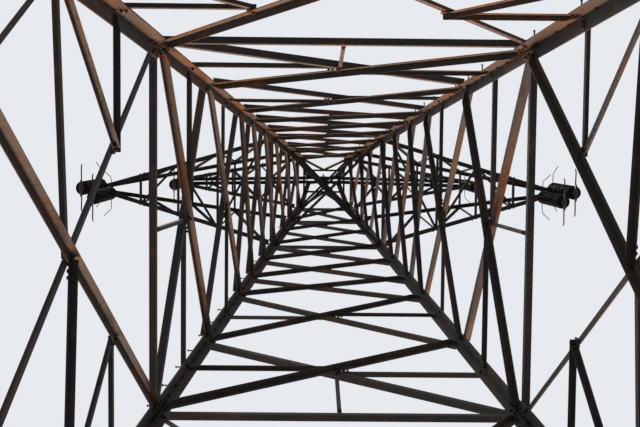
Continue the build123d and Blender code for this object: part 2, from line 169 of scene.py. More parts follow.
def face_axes(turn):
    """Right, up and outward directions of a face, and its point at ground level."""
    c, s = round(math.cos(turn * math.pi / 2)), round(math.sin(turn * math.pi / 2))
    out = Vector((s, -c, sizes().lean)).normalized()
    right = Vector((c, s, 0))
    return right, out.cross(right), out, Vector((s * sizes().base_half, -c * sizes().base_half, 0))


def to_axes(x, y, z):
    """Matrix that takes a template's axes to three directions."""
    return Matrix((x, y, z)).transposed().to_4x4()


def face_place(turn, point, depth, inward, spin):
    """Matrix that stands a template on a face at (u, h), depth along the outward normal."""
    right, up, out, origin = face_axes(turn)
    place = origin + right * point[0] + up * (point[1] * slope()) + out * depth
    x, z = (-right, -out) if inward else (right, out)
    return Matrix.Translation(place) @ to_axes(x, z.cross(x), z) @ Matrix.Rotation(spin, 4, "Z")


def standing(point, direction, spin=0.0):
    """Matrix that stands a template at a point with its Z along a direction."""
    tilt = Vector(direction).to_track_quat("Z", "Y").to_matrix().to_4x4()
    return Matrix.Translation(point) @ tilt @ Matrix.Rotation(spin, 4, "Z")


def set_back(p, q, b, more=0.0):
    """Ends of a bar of width b, drawn back from the legs as the steel is cut."""
    run, rise = q[0] - p[0], (q[1] - p[1]) * slope()
    ends = []
    for end, other in ((p, q), (q, p)):
        if at_leg(end):
            end = between(end, other, (b / 2 * abs(rise / run) + more) / math.hypot(run, rise))
        ends.append(end)
    return ends


# Modelling helpers

CHAMFER_RISE = 0.7
SIXTH_TURN = 1.047


def deselect():
    if bpy.context.object and bpy.context.object.mode != "OBJECT":
        bpy.ops.object.mode_set(mode="OBJECT")
    bpy.ops.object.select_all(action="DESELECT")


def choose(*pieces):
    deselect()
    for piece in pieces:
        piece.select_set(True)
    bpy.context.view_layer.objects.active = pieces[0]


def apply_place(piece):
    choose(piece)
    bpy.ops.object.transform_apply(location=True, rotation=True, scale=True)


def edit_all(piece):
    """Edit mode on piece with everything selected."""
    choose(piece)
    bpy.ops.object.mode_set(mode="EDIT")
    bpy.ops.mesh.select_all(action="SELECT")


def object_mode():
    bpy.ops.object.mode_set(mode="OBJECT")


def close_up(merge=0.0):
    """Leave edit mode with doubles merged and the faces pointing outwards."""
    bpy.ops.mesh.select_all(action="SELECT")
    if merge:
        bpy.ops.mesh.remove_doubles(threshold=merge)
    bpy.ops.mesh.normals_make_consistent(inside=False)
    object_mode()


def pick_faces(piece, test):
    """Edit mode on piece, with the faces selected whose normal passes the test."""
    choose(piece)
    bpy.ops.object.mode_set(mode="EDIT")
    bpy.ops.mesh.select_mode(type="FACE")
    bpy.ops.mesh.select_all(action="DESELECT")
    object_mode()
    for face in piece.data.polygons:
        face.select = test(face.normal)
    bpy.ops.object.mode_set(mode="EDIT")


def joined(name, pieces):
    choose(*pieces)
    if len(pieces) > 1:
        bpy.ops.object.join()
    piece = bpy.context.object
    piece.name = name
    piece.data.name = name
    return piece


def moved(pieces, place):
    """Pieces made round the origin, taken to their place."""
    for piece in pieces:
        piece.data.transform(Matrix.Translation(place))
    return pieces


def prism(sides, radius, depth, base=0.0, chamfer=0.0):
    """Upright prism from base upwards, its top edge drawn in by the chamfer."""
    bpy.ops.mesh.primitive_cylinder_add(vertices=sides, radius=radius, depth=depth,
                                        location=(0, 0, base + depth / 2))
    piece = bpy.context.object
    apply_place(piece)
    if chamfer:
        pick_faces(piece, lambda normal: normal.z > 0.9)
        bpy.ops.mesh.inset(thickness=chamfer)
        bpy.ops.transform.translate(value=(0, 0, chamfer * CHAMFER_RISE))
        object_mode()
    return piece


def keep_mesh(piece):
    """Take a template's mesh and remove its object."""
    mesh = piece.data
    bpy.data.objects.remove(piece)
    return mesh


def on_washer(across, height, chamfer):
    """Hexagon on a round washer, standing on XY."""
    washer = prism(12, across * 0.92, across * 0.11, chamfer=across * 0.04)
    return [prism(6, across / math.sqrt(3), height, across * 0.12, across * chamfer), washer]


def head_template(across, height):
    """Hexagon bolt head on its washer."""
    return keep_mesh(joined("head", on_washer(across, height, 0.12)))


def nut_template(across, height):
    """Nut on its washer with the end of the thread standing out."""
    thread = prism(8, across * 0.31, height * 0.7, across * 0.12 + height, across * 0.06)
    return keep_mesh(joined("nut", [*on_washer(across, height, 0.10), thread]))


def chance_turn(dice):
    """Turn of a hexagon by chance."""
    return dice.uniform(0, SIXTH_TURN)


def face_bolt(head, nut, turn, point, outside, inside, head_spin, nut_spin):
    """Copies of a head on the outer side of a face and of a nut on its inner side."""
    return [(head, face_place(turn, point, outside, False, head_spin)),
            (nut, face_place(turn, point, inside, True, nut_spin))]


def stamped(name, stamps):
    """One piece from copies of templates, each given as (mesh, matrix)."""
    deselect()
    copies = []
    for mesh, place in stamps:
        own = mesh.copy()
        own.transform(place)
        copy = bpy.data.objects.new(name, own)
        bpy.context.scene.collection.objects.link(copy)
        copies.append(copy)
    return joined(name, copies)


def finish_piece(piece, finish, slot, *replaced, smooth=None):
    """Finish and riding body of a new piece; the record slot argument is not used."""
    if smooth is not None:
        choose(piece)
        bpy.ops.object.shade_smooth_by_angle(angle=math.radians(smooth))
    piece.data.materials.clear()
    piece.data.materials.append(material(finish))
    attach(piece, "root")
    if replaced:
        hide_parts(*replaced)
    return piece


def bar(p, q, radius, sides=12, chamfer=0.0):
    """Round bar from p to q, with one end drawn in."""
    run = Vector(q) - Vector(p)
    piece = prism(sides, radius, run.length - chamfer * CHAMFER_RISE, chamfer=chamfer)
    piece.data.transform(standing(p, run))
    return piece


def bent_rod(points, radius, steps=4, sides=3):
    """Smooth bent rod through a NURBS path of at least five points."""
    bpy.ops.curve.primitive_nurbs_path_add(location=(0, 0, 0))
    piece = bpy.context.object
    spline = piece.data.splines[0]
    spline.points.add(len(points) - len(spline.points))
    for point, at in zip(spline.points, points):
        point.co = (*at, 1.0)
    spline.order_u = 3
    spline.use_endpoint_u = True
    piece.data.resolution_u = steps
    piece.data.bevel_depth = radius
    piece.data.bevel_resolution = sides
    piece.data.use_fill_caps = True
    choose(piece)
    bpy.ops.object.convert(target="MESH")
    return bpy.context.object


def u_path(points, y=0.0):
    """Path down through (x, z) points on the left and up again on the right."""
    return [(-x, y, z) for x, z in points] + [(x, y, z) for x, z in reversed(points)]


def block(low, high, bevel=0.002, segments=1):
    """Plate or block between two corners with worn edges."""
    low, high = Vector(low), Vector(high)
    bpy.ops.mesh.primitive_cube_add(size=1, location=(low + high) / 2)
    piece = bpy.context.object
    piece.scale = high - low
    apply_place(piece)
    if bevel:
        edit_all(piece)
        bpy.ops.mesh.bevel(offset=bevel, segments=segments)
        object_mode()
    return piece


def cut_block(low, high, point, normal, bevel=0.0, merge=0.0):
    """Block cut off by a plane through a point, the side that the normal points to being cleared."""
    piece = block(low, high, bevel)
    edit_all(piece)
    bpy.ops.mesh.bisect(plane_co=point, plane_no=normal, use_fill=True, clear_outer=True)
    close_up(merge)
    return piece


def turned(name, outline, steps):
    """Solid turned round Z from an outline of (radius, height) points that starts and ends on the axis."""
    mesh = bpy.data.meshes.new(name)
    mesh.from_pydata([(r, 0, z) for r, z in outline], [(i, i + 1) for i in range(len(outline) - 1)], [])
    piece = bpy.data.objects.new(name, mesh)
    bpy.context.scene.collection.objects.link(piece)
    edit_all(piece)
    bpy.ops.mesh.select_mode(type="VERT")
    bpy.ops.mesh.select_all(action="SELECT")
    bpy.ops.mesh.spin(steps=steps, angle=math.tau, center=(0, 0, 0), axis=(0, 0, 1))
    close_up(0.00005)
    return piece


# Materials

def shade(colour, share):
    return [v * share for v in colour]


class Recipe:
    """A material's node tree with short names for its steps."""

    def __init__(self, name):
        self.material = bpy.data.materials.new(name)
        self.material.use_nodes = True
        self.tree = self.material.node_tree
        self.tree.nodes.clear()
        self.shader = self.node("BsdfPrincipled")
        self.node("OutputMaterial", Surface=self.shader.outputs["BSDF"])
        self.coords = self.node("TexCoord")

    def node(self, kind, **inputs):
        """New node, its inputs given by name with _ for a space."""
        node = self.tree.nodes.new("ShaderNode" + kind)
        for key, value in inputs.items():
            self.feed(value, node.inputs[key.replace("_", " ")])
        return node

    def feed(self, value, socket):
        """Link an output to a socket, or set the socket to a constant."""
        if hasattr(value, "is_output"):
            self.tree.links.new(value, socket)
        else:
            socket.default_value = value

    def give(self, name, value):
        self.feed(value, self.shader.inputs[name])

    def mapped(self, scale=(1, 1, 1), shift=(0, 0, 0)):
        node = self.node("Mapping", Vector=self.coords.outputs["Object"], Scale=scale, Location=shift)
        return node.outputs["Vector"]

    def noise(self, vector, scale, detail=4.0, rough=0.55, warp=0.0):
        node = self.node("TexNoise", Vector=vector, Scale=scale, Detail=detail, Roughness=rough,
                         Distortion=warp)
        return node.outputs["Fac"]

    def cells(self, vector, scale):
        cells = self.node("TexVoronoi", Vector=vector, Scale=scale)
        return self.node("SeparateColor", Color=cells.outputs["Color"]).outputs["Red"]

    def maths(self, operation, a, b, clamp=False):
        node = self.node("Math")
        node.operation = operation
        node.use_clamp = clamp
        self.feed(a, node.inputs[0])
        self.feed(b, node.inputs[1])
        return node.outputs[0]

    def total(self, *terms):
        """Sum of (value, weight) terms."""
        result, *rest = [self.maths("MULTIPLY", value, weight) for value, weight in terms]
        for term in rest:
            result = self.maths("ADD", result, term)
        return result

    def spread(self, value, low=0.0, high=1.0, to_low=0.0, to_high=1.0):
        """Soft step from one range of values to another."""
        node = self.node("MapRange", Value=value, From_Min=low, From_Max=high, To_Min=to_low, To_Max=to_high)
        node.interpolation_type = "SMOOTHSTEP"
        return node.outputs["Result"]

    def blend(self, share, first, second):
        node = self.node("Mix", Factor=share)
        node.data_type = "RGBA"
        sockets = [socket for socket in node.inputs if socket.type == "RGBA"]
        for value, socket in zip((first, second), sockets):
            self.feed(value if hasattr(value, "is_output") else (*value, 1.0), socket)
        return next(socket for socket in node.outputs if socket.type == "RGBA")

    def facing(self, direction):
        """How far a surface faces a fixed direction, from -1 to 1."""
        node = self.node("VectorMath")
        node.operation = "DOT_PRODUCT"
        self.feed(self.coords.outputs["Normal"], node.inputs[0])
        self.feed(Vector(direction).normalized(), node.inputs[1])
        return node.outputs["Value"]

    def bumps(self, *layers):
        """Bump from (height, distance in metres, strength) layers."""
        normal = None
        for height, distance, strength in layers:
            node = self.node("Bump", Height=height, Distance=distance, Strength=strength)
            if normal is not None:
                self.feed(normal, node.inputs["Normal"])
            normal = node.outputs["Normal"]
        self.give("Normal", normal)


def weathered_steel(name, rust, warm, seed, dark=1.0):
    """Old painted and galvanised angle: grey to brown ground, rust patches, run-off streaks, dust."""
    c = colours()
    r = Recipe(name)
    place = r.mapped(shift=(seed * 7.3, seed * 3.1, seed * 5.7))
    streak_place = r.mapped((11, 11, 0.55), (seed * 2.9, seed * 1.7, 0))
    broad = r.noise(place, 0.55, 3.0, 0.5, 0.4)
    patch = r.noise(place, 3.2, 6.0, 0.62, 0.6)
    fleck = r.noise(place, 34.0, 7.0, 0.68)
    grain = r.noise(place, 170.0, 3.0, 0.6)
    streak = r.noise(streak_place, 1.6, 5.0, 0.6)
    spangle = r.cells(place, 52.0)
    # Painted light: faces turned to the key lamp (towards +Y and down) are painted warm brown and a bit
    # rustier
    painted_lamp_side = r.spread(r.facing((-0.22, 0.95, -0.15)), 0.18, 0.9)

    # Warmth is partly random brown staining (broad, patch) and partly painted lamp light from the lamp-side
    # mask
    warmth = r.maths("ADD", r.spread(broad, 0.42, 0.66, 0.0, 0.45), r.spread(patch, 0.45, 0.66, 0.0, 0.25))
    warmth = r.maths("ADD", warmth, r.maths("MULTIPLY", painted_lamp_side, 0.75))
    warmth = r.maths("MULTIPLY", warmth, warm, clamp=True)
    ground = r.blend(warmth, shade(c.steel_cool, dark), shade(c.steel_warm, dark))
    ground = r.blend(r.spread(spangle, to_high=0.30), ground, shade(c.steel_cool, 1.5 * dark))
    stained = r.blend(r.spread(streak, 0.48, 0.68, 0.0, 0.55), ground, c.rust_dark)

    # The lamp-side mask also adds a little rust on the lit faces, which is painted lamp light as well
    growth = r.total((patch, 0.48), (fleck, 0.22), (broad, 0.34), (painted_lamp_side, 0.088), (streak, 0.08))
    rusty = r.spread(growth, 0.70 - rust * 0.14, 0.79 - rust * 0.14)
    rust_tone = r.blend(r.spread(fleck, 0.34, 0.60), c.rust_dark, c.rust_bright)
    coloured = r.blend(rusty, stained, rust_tone)
    pits = r.spread(grain, 0.30, 0.42, 0.55, 0.0)
    coloured = r.blend(pits, coloured, c.rust_dark)
    upward = r.spread(r.facing((0, 0, 1)), 0.55, 0.95)
    dusty = r.maths("MULTIPLY", upward, r.spread(patch, 0.3, 0.7, 0.25, 0.7))

    r.give("Base Color", r.blend(dusty, coloured, c.dust))
    uneven = r.maths("MULTIPLY", fleck, 0.14)
    r.give("Roughness", r.maths("ADD", r.spread(rusty, to_low=0.64, to_high=0.84), uneven))
    r.give("Metallic", r.spread(rusty, to_low=0.10, to_high=0.0))
    r.give("Specular IOR Level", 0.22)
    blister = r.maths("MULTIPLY", rusty, fleck)
    r.bumps((grain, 0.0007, 0.5), (blister, 0.0030, 0.7), (patch, 0.004, 0.25))
    return r.material


def zinc_fitting(name, seed, dark=1.0):
    """Dull galvanised forging with brown run-off in its seams."""
    c = colours()
    r = Recipe(name)
    place = r.mapped(shift=(seed * 4.1, seed * 2.3, seed))
    cloud = r.noise(place, 9.0, 5.0, 0.6)
    fleck = r.noise(place, 75.0, 6.0, 0.65)
    spangle = r.cells(place, 110.0)
    ground = r.blend(r.spread(cloud, 0.35, 0.65), shade(c.zinc, dark), shade(c.zinc, 0.55 * dark))
    ground = r.blend(r.spread(spangle, to_high=0.3), ground, shade(c.zinc, 1.35 * dark))
    rusty = r.spread(r.total((fleck, 0.6), (cloud, 0.4)), 0.54, 0.66)
    rust_tone = r.blend(r.spread(fleck, 0.4, 0.7), c.rust_dark, c.rust_bright)
    r.give("Base Color", r.blend(rusty, ground, rust_tone))
    r.give("Roughness", r.spread(rusty, to_low=0.42, to_high=0.85))
    r.give("Metallic", r.spread(rusty, to_low=0.6, to_high=0.0))
    r.bumps((fleck, 0.0012, 0.5))
    return r.material


def brown_porcelain(name):
    """Dark brown glaze, deeper where it ran thick, dulled by dust and rain marks."""
    c = colours()
    r = Recipe(name)
    place = r.mapped()
    cloud = r.noise(place, 22.0, 4.0, 0.55)
    speck = r.noise(place, 260.0, 2.0, 0.5)
    grime = r.noise(place, 55.0, 6.0, 0.7, 0.5)
    glaze = r.blend(r.spread(cloud, 0.35, 0.65), c.glaze, shade(c.glaze, 1.9))
    glaze = r.blend(r.spread(speck, 0.62, 0.72), glaze, shade(c.glaze, 0.4))
    above = r.maths("MULTIPLY", r.spread(r.facing((0, 0, 1)), 0.1, 0.9), r.spread(grime, 0.4, 0.65))
    dulled = r.maths("MULTIPLY", above, 0.3)
    r.give("Base Color", r.blend(dulled, glaze, c.dust))
    r.give("Roughness", r.maths("ADD", r.spread(grime, 0.35, 0.7, 0.40, 0.60), dulled))
    r.bumps((cloud, 0.0015, 0.3))
    r.give("Specular IOR Level", 0.35)
    r.give("Coat Weight", 0.06)
    r.give("Coat Roughness", 0.22)
    return r.material


MAKERS = {
    "leg_steel_finish": (weathered_steel, 0.62, 0.85, 1.0),
    "brace_steel_finish": (weathered_steel, 0.50, 0.80, 2.0),
    "arm_steel_finish": (weathered_steel, 0.35, 0.30, 3.0, 0.6),
    "foot_steel_finish": (weathered_steel, 0.70, 0.90, 4.0),
    "bolt_finish": (weathered_steel, 0.45, 0.3, 5.0, 0.5),
    "forging_finish": (zinc_fitting, 6.0),
    "cap_finish": (zinc_fitting, 7.0, 0.8),
    "porcelain_finish": (brown_porcelain,),
}


def material(name):
    """A finish by its name, made once."""
    maker, *values = MAKERS[name]
    return bpy.data.materials.get(name) or maker(name, *values)


# Operators, each after the functions that give its places and templates

class PylonOperator(bpy.types.Operator):
    """What every step of the pylon has in common."""
    bl_options = {"REGISTER", "UNDO"}


# The finish of a node is that of the first entry that its name starts with
NODE_FINISHES = (
    ("leg_", "leg_steel_finish"), ("base_plates", "foot_steel_finish"), ("lower_arm", "arm_steel_finish"),
    ("upper_arm", "arm_steel_finish"), ("ridge", "arm_steel_finish"), ("insulators", "porcelain_finish"),
    ("fittings", "forging_finish"), ("earth", "forging_finish"), ("step_bolts", "bolt_finish"),
    ("", "brace_steel_finish"),
)


class PYLON_OT_steel_finish(PylonOperator):
    """Give every CAD node its weathered finish."""
    bl_idname = "pylon.steel_finish"
    bl_label = "Steel finish"

    def execute(self, context):
        for name, node in NODES.items():
            finish = next(finish for start, finish in NODE_FINISHES if name.startswith(start))
            node.data.materials.clear()
            node.data.materials.append(material(finish))
        return {"FINISHED"}


def crossed(low, high, outer_steel, inner_steel, bolts=2):
    """The two diagonals of a panel, the outer one rising to the right."""
    return [(leg_point(-1, low), leg_point(1, high), *outer_steel, True, bolts),
            (leg_point(1, low), leg_point(-1, high), *inner_steel, False, bolts)]


def level_bar(h, steel):
    return (leg_point(-1, h), leg_point(1, h), *steel, True, 2)


def foot_bars():
    """Slanted braces of the leg extension, with their short struts."""
    rows = []
    for side in (-1, 1):
        top, foot = (side * FOOT_TOP_IN, H_BELT - FOOT_TOP_DROP), leg_point(side, FOOT_LOW)
        rows.append((top, foot, *L90, False, 3))
        knots = [between(foot, top, s) for s in (0.66, 0.34)]
        for knot, low in zip(knots, (knots[1][1], FOOT_STRUT_LOW)):
            for h in (knot[1], low + 0.06):
                rows.append((knot, leg_point(side, h), *L50, False, 2))
    return rows


def large_bars():
    """Diagonals of the large panel, belt strut, half struts from the crossing and light ties."""
    low, high = PANELS["large"][0][:2]
    middle = crossing(low, high)
    rows = crossed(*PANELS["large"][0], 3) + [level_bar(low, L80)]
    for side in (-1, 1):
        end = middle - STRUT_DROP
        rows.append(((0, middle), leg_point(side, end), *L70, side == 1, 2))
        upper_knot = between((0, middle), leg_point(side, high), KNOT_UP)
        lower_knot = between((0, middle), leg_point(side, low), KNOT_DOWN)
        for knot, h_end, outer in ((upper_knot, end - TIE_LOW, side < 0),
                                   (lower_knot, end - TIE_GAP, side > 0)):
            for far in (leg_point(side, knot[1]), leg_point(side, h_end)):
                lap = KNOT_LAP / math.dist(knot, far)
                rows.append((between(knot, far, -lap), far, *L60, outer, 2))
    return rows


def body_bars():
    """Ring strut, crossed panels, half struts in the first two and the hanger under the first crossing."""
    rows = [level_bar(H_RING, L80)]
    for n, panel in enumerate(PANELS["body"]):
        rows += crossed(*panel)
        if n < 2:
            h = crossing(*panel[:2])
            for side in (-1, 1):
                rows.append(((0, h), leg_point(side, h), *(L60, L50)[n], side == (-1, 1)[n], 2))
    rows.append(((0, H_RING), (0, crossing(*PANELS["body"][0][:2])), *L50, True, 1))
    return rows


def head_bars():
    """Three crossed panels between the arm levels and the level bars."""
    rows = []
    for panel in PANELS["head"]:
        rows += crossed(*panel)
    return rows + [level_bar(h, L65) for h in (H_LOW, H_HIGH, H_TOP - 0.04)]


# Bars of one face as (start, end, width, thickness, outer side, bolts at an end)
FACE_BARS = {"foot": foot_bars, "large": large_bars, "body": body_bars, "head": head_bars}
BOLT_EDGE, BOLT_STEP, BOLT_STEP_NARROW, BOLT_PAST_KNOT, FLANGE_RIM = 0.030, 0.058, 0.048, 0.070, 0.018
CROSSING_BOLTS = ((0.022, 0.016), (-0.022, -0.016))


def face_spots(part):
    """Bolts of one face as (point, depth of the head side, depth of the nut side)."""
    leg_b, leg_t = leg_size(part)
    spots = []
    for p, q, b, t, outer, count in FACE_BARS[part]():
        near, far = set_back(p, q, b)
        span = math.dist(near, far)
        step = BOLT_STEP_NARROW if b <= L60[0] else BOLT_STEP
        for end, other, raw in ((near, far, p), (far, near, q)):
            on_leg, off_middle = at_leg(raw), abs(raw[0]) > 0.01
            for n in range(count):
                reach = BOLT_EDGE + n * step + (0.0 if on_leg or off_middle else BOLT_PAST_KNOT)
                point = between(end, other, reach / span)
                if on_leg and half(point[1]) - abs(point[0]) > leg_b - FLANGE_RIM:
                    break
                if on_leg:
                    head, nut = (t, -leg_t) if outer else (0.0, -leg_t - t)
                elif part == "foot":
                    head, nut = -leg_t, -leg_t - t
                elif n == 0 and off_middle:
                    head, nut = (t, -leg_t - L90[1]) if outer else (L65_THICK[1], -leg_t - t)
                else:
                    head, nut = (t, 0.0) if outer else (-leg_t, -leg_t - t)
                spots.append((point, head, nut))
    return spots


def joint_bolt():
    """Head and nut of the joint bolts."""
    s = sizes()
    return head_template(s.bolt_across, s.bolt_head), nut_template(s.bolt_across, s.bolt_head * 1.1)


class PYLON_OT_joint_bolts(PylonOperator):
    """Bolt heads and nuts at the ends and crossings of the bracing bars, one piece for each face and part."""
    bl_idname = "pylon.joint_bolts"
    bl_label = "Joint bolts"

    def execute(self, context):
        head, nut = joint_bolt()
        for part, panels in PANELS.items():
            spots = face_spots(part)
            leg_t = leg_size(part)[1]
            for low, high, outer, inner in panels:
                h = crossing(low, high)
                for du, dv in CROSSING_BOLTS:
                    spots.append(((du, h + dv), outer[1], -leg_t - inner[1]))
            for name, turn in TURNS.items():
                dice = random.Random(part + name)
                stamps = []
                for spot in spots:
                    stamps += face_bolt(head, nut, turn, *spot, chance_turn(dice), chance_turn(dice))
                finish_piece(stamped("bolts_" + part + "_" + name, stamps), "bolt_finish", "brace_steel")
        return {"FINISHED"}


def flange_cuts(turn, part):
    """Matrices that take the unit wedge to the cut ends of the inner bars' standing flanges."""
    right, up, out, origin = face_axes(turn)
    leg_t = leg_size(part)[1]
    cuts = []
    for p, q, b, t, outer, _ in FACE_BARS[part]():
        for end, start in zip(set_back(p, q, b), set_back(p, q, b, COPE)):
            if outer or math.dist(end, start) < 0.01:
                continue
            far, near = (origin + right * u + up * (h * slope()) for u, h in (end, start))
            run = far - near
            across = run.dot(right)
            rim = out.cross(right if abs(across) < 1e-6 else run * math.copysign(1, across)).normalized()
            thick = run.cross(out).normalized()
            at = near + rim * (b - t) / 2 - out * (leg_t + t / 2)
            cuts.append(Matrix.Translation(at) @ to_axes(run, thick * t * 0.97, -out * (b - t / 2)))
    return cuts


class PYLON_OT_coped_flanges(PylonOperator):
    """Slanted cuts of the standing flanges where the inner bars meet the legs, one piece for each face."""
    bl_idname = "pylon.coped_flanges"
    bl_label = "Coped flanges"

    def execute(self, context):
        wedge = keep_mesh(cut_block((0, -0.5, 0), (1, 0.5, 1), (0, 0, 1), (0.66, 0, 1), merge=0.0001))
        for name, turn in TURNS.items():
            stamps = [(wedge, place) for part in FACE_BARS for place in flange_cuts(turn, part)]
            finish_piece(stamped("coped_flanges_" + name, stamps), "brace_steel_finish", "brace_steel")
        return {"FINISHED"}


SPLICE_WIDTH, SPLICE_THICK, SPLICE_REACH = 0.052, 0.010, 0.36
SPLICE_BOLTS, SPLICE_EDGE, SPLICE_GAUGE = 8, 0.045, 0.040


def splice_covers(sx, sy):
    """Plates of the two angle covers of a leg, inside and outside its corner."""
    lean = sizes().lean
    low, high = (Vector((sx * half(h), sy * half(h), h))
                 for h in (H_RING - SPLICE_REACH, H_RING + SPLICE_REACH))
    run = Vector((-sx * lean, -sy * lean, 1)).normalized()
    shape = Matrix.Translation(low) @ to_axes(Vector((-sx, 0, 0)), Vector((0, -sy, 0)), run)
    plates = []
    for start, more in ((-SPLICE_THICK, SPLICE_THICK), (sizes().leg_low_t, 0)):
        across = (start, start + SPLICE_WIDTH + more)
        through = (start, start + SPLICE_THICK)
        for xs, ys in ((across, through), (through, across)):
            plate = block((xs[0], ys[0], 0), (xs[1], ys[1], (high - low).length), 0.0025)
            plate.data.transform(shape)
            edit_all(plate)
            close_up()
            plates.append(plate)
    return plates


class PYLON_OT_leg_splices(PylonOperator):
    """Angle covers inside and outside each leg where its two lengths meet at the ring, with their bolts."""
    bl_idname = "pylon.leg_splices"
    bl_label = "Leg splices"

    def execute(self, context):
        head, nut = joint_bolt()
        inside = -sizes().leg_low_t - SPLICE_THICK
        covers, stamps = [], []
        for name, (sx, sy) in CORNERS.items():
            covers += splice_covers(sx, sy)
            for turn, side in ((1 + sy, -sx * sy), (2 - sx, sy * sx)):
                dice = random.Random(name + str(turn))
                for n in range(SPLICE_BOLTS):
                    share = n / (SPLICE_BOLTS - 1) * 2 - 1
                    h = H_RING + (SPLICE_REACH - SPLICE_EDGE) * share
                    point = (side * (half(h) - SPLICE_GAUGE), h)
                    spin = chance_turn(dice)
                    stamps += face_bolt(head, nut, turn, point, SPLICE_THICK, inside, spin, spin)
        finish_piece(joined("leg_splices", covers), "leg_steel_finish", "leg_steel")
        finish_piece(stamped("splice_bolts", stamps), "bolt_finish", "leg_steel")
        return {"FINISHED"}


STEP_FIRST, STEP_PITCH, STEP_GAUGE, STEP_CLEAR = 3.0, 0.38, 0.030, 0.21


def step_spots():
    """Step bolt places as (turn, point on the face), by turns on the two flanges of a leg."""
    lugs = (H_LOW, H_HIGH, H_UPPER_LUG)
    count = int((H_TOP - 0.3 - STEP_FIRST) / STEP_PITCH)
    spots = []
    for flanges in (((3, -1), (2, 1)), ((1, -1), (0, 1))):
        for start, (turn, end) in enumerate(flanges):
            for h in [STEP_FIRST + n * STEP_PITCH for n in range(start, count, 2)]:
                if turn in (0, 2) or all(abs(h - z) > STEP_CLEAR for z in lugs):
                    spots.append((turn, (end * (half(h) - STEP_GAUGE), h)))
    return spots


class PYLON_OT_step_nuts(PylonOperator):
    """Nuts that hold the step bolts, on both sides of the leg flange."""
    bl_idname = "pylon.step_nuts"
    bl_label = "Step bolt nuts"

    def execute(self, context):
        outer, inner = head_template(0.027, 0.013), nut_template(0.027, 0.014)
        dice = random.Random(4)
        stamps = []
        for turn, point in step_spots():
            leg_t = leg_size("large" if point[1] < H_RING else "body")[1]
            stamps += face_bolt(outer, inner, turn, point, 0.0, -leg_t, chance_turn(dice), chance_turn(dice))
        finish_piece(stamped("step_nuts", stamps), "bolt_finish", "fitting_steel")
        return {"FINISHED"}


PLATE_TOP, PLATE_INSET, ANCHOR_SPREAD, NUT_HEIGHT = 0.030, 0.070, 0.180, 0.030
RIB_OUT, RIB_HALF, RIB_HEIGHT, RIB_NOSE, RIB_SINK = 0.150, 0.006, 0.190, 0.030, 0.003


class PYLON_OT_feet(PylonOperator):
    """Anchor studs with their nuts, and the welded stiffeners between the legs and the base plates."""
    bl_idname = "pylon.feet"
    bl_label = "Feet"

    def execute(self, context):
        s = sizes()
        nut = nut_template(s.anchor_across, NUT_HEIGHT)
        up = Vector((0, 0, 1))
        stamps, ribs = [], []
        for name, (sx, sy) in CORNERS.items():
            centre = Vector((sx * (s.base_half - PLATE_INSET), sy * (s.base_half - PLATE_INSET), PLATE_TOP))
            dice = random.Random(name)
            for dx in (-ANCHOR_SPREAD, ANCHOR_SPREAD):
                for dy in (-ANCHOR_SPREAD, ANCHOR_SPREAD):
                    spin = Matrix.Rotation(chance_turn(dice), 4, "Z")
                    for dz in (0, NUT_HEIGHT):
                        stamps.append((nut, Matrix.Translation(centre + Vector((dx, dy, dz))) @ spin))
            root, mid = half(PLATE_TOP) - RIB_SINK, s.base_half - s.leg_low_b * 0.5
            for out, foot in ((Vector((sx, 0, 0)), (sx * root, sy * mid, PLATE_TOP)),
                              (Vector((0, sy, 0)), (sx * mid, sy * root, PLATE_TOP))):
                rib = cut_block((0.0, -RIB_HALF, 0.0), (RIB_OUT, RIB_HALF, RIB_HEIGHT),
                                (RIB_OUT, 0, RIB_NOSE), (0.160, 0, 0.135), bevel=0.0015)
                rib.data.transform(Matrix.Translation(foot) @ to_axes(out, up.cross(out), up))
                ribs.append(rib)
        finish_piece(stamped("anchor_nuts", stamps), "bolt_finish", "base_steel")
        finish_piece(joined("foot_stiffeners", ribs), "foot_steel_finish", "base_steel")
        return {"FINISHED"}


def arm_lines(level):
    """Heel lines of an arm's chords on the right side, as (bottom, top) pairs of points."""
    tip, tip_z = ARM_TIPS[level]
    if level == "lower":
        root_h, upper = H_LOW, H_HIGH
        top_root = (half(H_HIGH) + CHORD_GAP, half(H_HIGH) - LUG_IN)
    else:
        root_h, upper = H_UPPER_LUG, H_RIDGE
        top_root = (RIDGE_SHARE * half(H_TOP) - 0.030, ARM_TIP_HALF)
    low = ((half(root_h) + CHORD_GAP, half(root_h) - LUG_IN, root_h), (tip, ARM_TIP_HALF, tip_z))
    high = ((*top_root, upper), (tip, ARM_TIP_HALF, tip_z + ARM_TIP_DEPTH))
    return low, high


def on_chord(line, s, side, sy, inward=0.0, up=0.0):
    x, y, z = between(*line, s)
    return Vector((side * x, sy * (y - inward), z + up))


def arm_spots(level, side):
    """Bolts of an arm as (point, direction of the head, grip)."""
    low, high = arm_lines(level)
    chords = ((low, 0.050), (high, -0.050))
    step = 0.045 / math.dist(*low)
    spots = []
    for sy in (-1, 1):
        out = Vector((0, sy, 0))
        for s in ARM_STATIONS:
            for shift in (-step, step):
                spots += [(on_chord(line, s + shift, side, sy, up=up), out, 0.013) for line, up in chords]
            spots.append((on_chord(low, s, side, sy, inward=0.045), Vector((0, 0, -1)), 0.013))
        for line, up in chords if level == "lower" else chords[:1]:
            for reach in (0.030, 0.092):
                spots.append((on_chord(line, reach / math.dist(*line), side, sy, up=up), out, 0.022))
        x, _, z = low[1]
        for n in range(3):
            for dz in (0.045, 0.125):
                spots.append((Vector((side * (x - 0.155 + n * 0.070), sy * 0.108, z + dz)), out, 0.022))
    for root_h in (H_LOW, H_HIGH) if level == "lower" else (H_UPPER_LUG,):
        for sy in (-1, 1):
            for z in (root_h - 0.10, root_h, root_h + 0.10):
                at = Vector((side * (half(z) + 0.045), sy * (half(root_h) - LUG_IN + 0.006), z))
                spots.append((at, Vector((0, sy, 0)), 0.012))
    return spots


